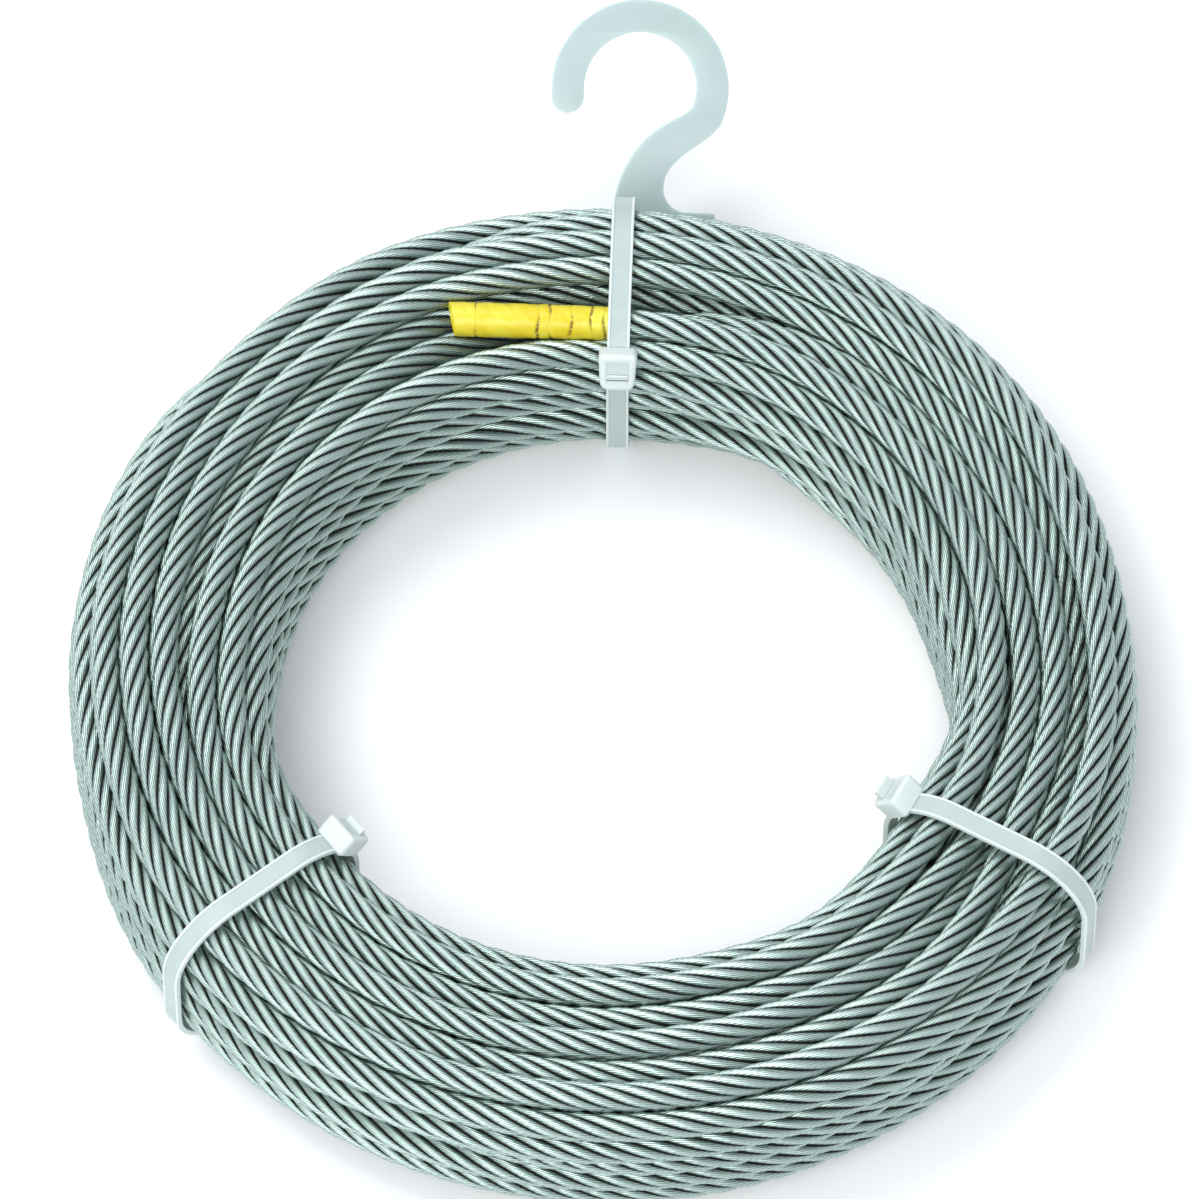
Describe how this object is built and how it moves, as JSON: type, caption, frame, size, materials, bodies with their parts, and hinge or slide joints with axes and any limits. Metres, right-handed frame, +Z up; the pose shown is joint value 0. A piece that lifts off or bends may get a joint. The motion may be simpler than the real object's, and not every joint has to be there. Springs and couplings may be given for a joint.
{
  "type": "coil of wire rope",
  "caption": "Coil of stranded steel wire rope lying flat, bound by nylon cable ties, with a plastic hanging hook under one tie and yellow tape round the rope's end.",
  "frame": {"origin": "middle of the footprint of the whole object, on the surface it lies on", "axes": "+Z up along the coil's own axis, +Y from the coil towards its hook, +X across"},
  "size_m": [0.2146, 0.2588, 0.044],
  "materials": {
    "wire_rope": "drawn galvanised wires in twisted strands, bright on their crowns and dark between",
    "cable_tie": "natural white moulded nylon, slightly translucent",
    "hang_hook": "milky pale green moulded plastic, slightly translucent",
    "end_tape": "yellow vinyl tape with small creases across it"
  },
  "bodies": {
    "root": {"wire_rope_coil": "wire_rope", "cable_tie_top": "cable_tie", "cable_tie_left": "cable_tie", "cable_tie_right": "cable_tie", "hang_hook": "hang_hook", "end_tape": "end_tape"}
  },
  "joints": []
}
